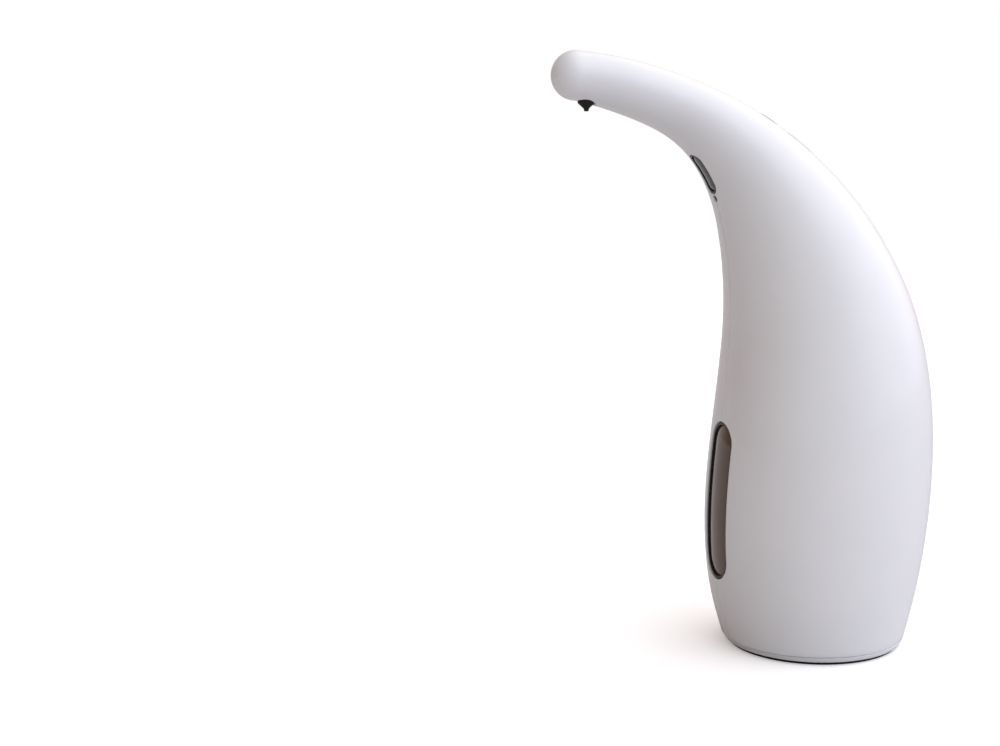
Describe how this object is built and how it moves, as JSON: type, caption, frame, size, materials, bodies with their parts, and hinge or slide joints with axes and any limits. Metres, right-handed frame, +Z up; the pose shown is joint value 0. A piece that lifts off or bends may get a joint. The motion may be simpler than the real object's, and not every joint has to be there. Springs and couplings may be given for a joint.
{
  "type": "automatic soap dispenser",
  "caption": "Free-standing touchless soap dispenser: rounded body curving into a forward spout, level window, hand sensor, refill plug, power button and coin-slot battery door.",
  "frame": {"origin": "centre of the overall box on the surface that the foot ring stands on", "axes": "+Z up, the spout points along -Y and the body is split in its middle plane X = 0"},
  "size_m": [0.0702, 0.1309, 0.1972],
  "materials": {
    "gloss_white": "polished moulded shell",
    "rim_white": "moulded, slightly duller than the shell",
    "dark_rubber": "matte black",
    "door_white": "fine spark texture",
    "plated_steel": "bright plated",
    "cell_jacket": "glossy sleeve",
    "smoky_clear": "tinted clear",
    "milky_plastic": "natural moulded",
    "dark_plastic": "satin black",
    "lens_grey": "polished infrared filter",
    "board_green": "solder resist",
    "silicone_clear": "translucent",
    "button_grey": "soft",
    "acetal_white": "satin",
    "brass": "machined",
    "red_wire": "flexible sleeve",
    "black_wire": "flexible sleeve",
    "grey_wire": "flexible sleeve"
  },
  "bodies": {
    "housing": {"shell_left": "gloss_white", "shell_right": "gloss_white", "window_surround": "dark_plastic", "level_window": "smoky_clear", "base_tray": "rim_white", "foot_ring": "dark_rubber", "base_screw_1": "plated_steel", "base_screw_2": "plated_steel", "base_screw_3": "plated_steel", "base_screw_4": "plated_steel", "top_bridge": "plated_steel", "terminal_plus": "plated_steel", "terminal_minus": "plated_steel", "battery_cell_1": "cell_jacket", "battery_cell_2": "cell_jacket", "battery_cell_3": "cell_jacket", "battery_cell_4": "cell_jacket", "reservoir": "smoky_clear", "lid_gasket": "dark_rubber", "reservoir_lid": "milky_plastic", "fill_neck": "milky_plastic", "tact_switch": "dark_plastic", "switch_board": "board_green", "sensor_bezel": "dark_plastic", "sensor_lens": "lens_grey", "sensor_board": "board_green", "ir_emitter": "lens_grey", "ir_receiver": "dark_plastic", "status_light": "dark_plastic", "nozzle": "dark_rubber", "nozzle_elbow": "milky_plastic", "delivery_tube": "silicone_clear", "intake_tube": "silicone_clear", "intake_filter": "acetal_white", "pump_body": "milky_plastic", "pump_cover": "milky_plastic", "motor_mount": "milky_plastic", "pump_screw_1": "plated_steel", "pump_screw_2": "plated_steel", "motor_can": "plated_steel", "control_board": "board_green", "lead_plus": "red_wire", "lead_minus": "black_wire", "sensor_lead": "grey_wire", "switch_lead": "grey_wire"},
    "button": {"power_button": "button_grey"},
    "plug": {"refill_plug": "silicone_clear"},
    "contacts": {"contact_carrier": "milky_plastic", "door_bridge_a": "plated_steel", "door_bridge_b": "plated_steel"},
    "door": {"battery_door": "door_white", "door_seal": "dark_rubber"},
    "drive": {"drive_gear": "plated_steel", "reduction_gear": "acetal_white"},
    "driven": {"driven_gear": "plated_steel"},
    "rotor": {"motor_pinion": "brass", "motor_shaft": "plated_steel"}
  },
  "joints": [
    {"name": "power_press", "type": "slide", "parent": "housing", "child": "button", "axis": [0, -0.5323, -0.8466], "range_m": [0, 0.0008], "stiffness_N_per_m": 600, "springref_m": -0.0008},
    {"name": "plug_pull", "type": "slide", "parent": "housing", "child": "plug", "axis": [0, 0.6179, 0.7862], "range_m": [0, 0.025]},
    {"name": "door_drop", "type": "slide", "parent": "housing", "child": "contacts", "axis": [0, 0, -1], "range_m": [0, 0.008]},
    {"name": "door_turn", "type": "hinge", "parent": "contacts", "child": "door", "pos_m": [0, 0.03414, 0.0033], "axis": [0, 0, -1], "range_deg": [0, 240]},
    {"name": "drive_spin", "type": "hinge", "parent": "housing", "child": "drive", "pos_m": [-0.0045, 0.01407, 0.1215], "axis": [0, 0, 1], "continuous": true},
    {"name": "driven_spin", "type": "hinge", "parent": "housing", "child": "driven", "pos_m": [0.0045, 0.01407, 0.1215], "axis": [0, 0, 1], "continuous": true},
    {"name": "rotor_spin", "type": "hinge", "parent": "housing", "child": "rotor", "pos_m": [0, 0.00514, 0.1305], "axis": [0, 0, 1], "continuous": true}
  ],
  "couplings": [
    {"joint": "door_turn", "follows": "door_drop", "rad_per_m": 523.5},
    {"joint": "driven_spin", "follows": "drive_spin", "ratio": -1},
    {"joint": "rotor_spin", "follows": "drive_spin", "ratio": -3}
  ]
}
